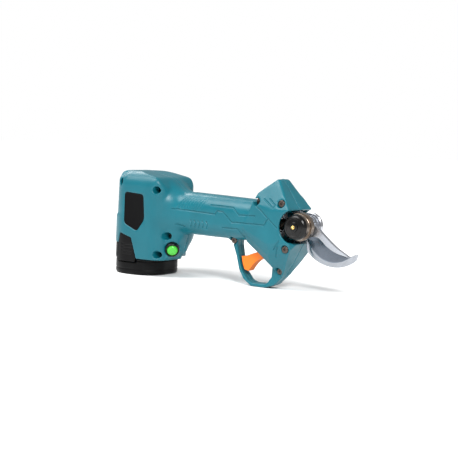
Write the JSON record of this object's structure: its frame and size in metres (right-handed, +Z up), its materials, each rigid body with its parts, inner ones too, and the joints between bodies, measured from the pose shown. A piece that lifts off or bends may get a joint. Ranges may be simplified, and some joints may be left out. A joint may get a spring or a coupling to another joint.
{
  "type": "battery electric pruner",
  "caption": "Hand-held battery pruner: upright battery housing, round grip, faceted head with hook and moving blades, looped trigger guard.",
  "frame": {"origin": "centre of the tool's length and width, on the surface it stands on", "axes": "+X from the battery housing to the blades, +Y to the tool's left, +Z up"},
  "size_m": [0.265, 0.064, 0.1037],
  "materials": {
    "shell_plastic": "fine textured moulded nylon, teal",
    "badge_plastic": "smooth black plate with a faint grain",
    "screw_steel": "bronze coloured plated steel",
    "bright_steel": "turned and polished steel",
    "blade_steel": "ground tool steel with fine grinding lines",
    "gear_steel": "oiled dark gear steel",
    "bearing_steel": "polished bearing steel",
    "motor_metal": "machined metal",
    "lamination_steel": "stacked steel sheets",
    "copper_wire": "enamelled copper wire",
    "magnet_metal": "nickel plated magnet",
    "cap_plastic": "polished black moulding",
    "brass": "turned brass",
    "trigger_plastic": "satin orange moulding",
    "button_plastic": "soft glossy green moulding",
    "spring_steel": "drawn spring wire",
    "circuit_board": "green solder resist",
    "component_resin": "black moulded packages",
    "wire_cover": "silicone covered wire",
    "battery_plastic": "black textured moulding",
    "cell_wrap": "wrapped cells, modelled with a light metal's density"
  },
  "bodies": {
    "tool": {"left_shell": "shell_plastic", "right_shell": "shell_plastic", "shell_screws": "screw_steel", "head_bolts": "screw_steel", "head_nuts": "bright_steel", "left_badge": "badge_plastic", "right_badge": "badge_plastic", "motor_can": "motor_metal", "stator_core": "lamination_steel", "stator_coils": "copper_wire", "motor_front_plate": "motor_metal", "ring_gear": "gear_steel", "gearbox_nose": "motor_metal", "rear_output_bearing": "bearing_steel", "front_output_bearing": "bearing_steel", "motor_bearings": "bearing_steel", "hook_blade": "blade_steel", "pivot_bolt": "bright_steel", "flange_washer": "bright_steel", "thrust_washer": "gear_steel", "pivot_nut": "gear_steel", "pivot_cap": "cap_plastic", "grease_nipple": "brass", "trigger_pin": "bright_steel", "trigger_spring": "spring_steel", "sensor_board": "circuit_board", "control_board": "circuit_board", "board_parts": "component_resin", "motor_leads": "wire_cover", "terminal_block": "cap_plastic", "terminal_blades": "brass", "button_bezel": "cap_plastic", "button_spring": "spring_steel", "switch_body": "cap_plastic"},
    "cutting_blade": {"moving_blade": "blade_steel", "bevel_sector": "gear_steel", "blade_rivets": "bright_steel"},
    "output_shaft": {"output_pinion": "gear_steel", "planet_carrier": "gear_steel", "planet_pins": "gear_steel"},
    "planet_1": {"planet_gear_1": "gear_steel"},
    "planet_2": {"planet_gear_2": "gear_steel"},
    "planet_3": {"planet_gear_3": "gear_steel"},
    "rotor": {"rotor_shaft": "gear_steel", "rotor_magnet": "magnet_metal", "sun_gear": "gear_steel"},
    "trigger_lever": {"trigger": "trigger_plastic", "trigger_magnet": "magnet_metal"},
    "button": {"power_button": "button_plastic"},
    "battery_pack": {"pack_lower": "battery_plastic", "pack_upper": "battery_plastic", "pack_cells": "cell_wrap", "cell_straps": "brass", "pack_board": "circuit_board", "pack_contacts": "brass", "pack_screws": "screw_steel", "left_latch_spring": "spring_steel", "right_latch_spring": "spring_steel"},
    "left_latch_panel": {"left_latch": "battery_plastic"},
    "right_latch_panel": {"right_latch": "battery_plastic"}
  },
  "joints": [
    {"name": "blade_pivot", "type": "hinge", "parent": "tool", "child": "cutting_blade", "pos_m": [0.0795, 0, 0.061], "axis": [0, -1, 0], "range_deg": [0, 50]},
    {"name": "output_spin", "type": "hinge", "parent": "tool", "child": "output_shaft", "pos_m": [0.0575, 0, 0.061], "axis": [1, 0, 0], "range_deg": [0, 131.25]},
    {"name": "rotor_spin", "type": "hinge", "parent": "tool", "child": "rotor", "pos_m": [-0.0165, 0, 0.061], "axis": [1, 0, 0], "range_deg": [0, 525]},
    {"name": "trigger_pull", "type": "hinge", "parent": "tool", "child": "trigger_lever", "pos_m": [0.041, 0, 0.0375], "axis": [0, 1, 0], "range_deg": [0, 9], "stiffness_Nm_per_rad": 0.4, "springref_deg": -2.86, "deforming": ["trigger_spring"]},
    {"name": "button_press", "type": "slide", "parent": "tool", "child": "button", "axis": [-0.5972, 0.6963, 0.3982], "range_m": [0, 0.001], "stiffness_N_per_m": 1500, "springref_m": -0.0005, "deforming": ["button_spring"]},
    {"name": "battery_slide", "type": "slide", "parent": "tool", "child": "battery_pack", "axis": [0, 0, -1], "range_m": [0, 0.062]},
    {"name": "left_latch_press", "type": "slide", "parent": "battery_pack", "child": "left_latch_panel", "axis": [0, -1, 0], "range_m": [0, 0.002], "stiffness_N_per_m": 800, "springref_m": -0.001, "deforming": ["left_latch_spring"]},
    {"name": "right_latch_press", "type": "slide", "parent": "battery_pack", "child": "right_latch_panel", "axis": [0, 1, 0], "range_m": [0, 0.002], "stiffness_N_per_m": 800, "springref_m": -0.001, "deforming": ["right_latch_spring"]},
    {"name": "planet_1_spin", "type": "hinge", "parent": "output_shaft", "child": "planet_1", "pos_m": [0.012, 0, 0.0694], "axis": [1, 0, 0], "range_deg": [-393.75, 0]},
    {"name": "planet_2_spin", "type": "hinge", "parent": "output_shaft", "child": "planet_2", "pos_m": [0.012, -0.00728, 0.0568], "axis": [1, 0, 0], "range_deg": [-393.75, 0]},
    {"name": "planet_3_spin", "type": "hinge", "parent": "output_shaft", "child": "planet_3", "pos_m": [0.012, 0.00728, 0.0568], "axis": [1, 0, 0], "range_deg": [-393.75, 0]}
  ],
  "couplings": [
    {"joint": "output_spin", "follows": "blade_pivot", "ratio": 2.625},
    {"joint": "rotor_spin", "follows": "blade_pivot", "ratio": 10.5},
    {"joint": "planet_1_spin", "follows": "blade_pivot", "ratio": -7.875},
    {"joint": "planet_2_spin", "follows": "blade_pivot", "ratio": -7.875},
    {"joint": "planet_3_spin", "follows": "blade_pivot", "ratio": -7.875}
  ]
}
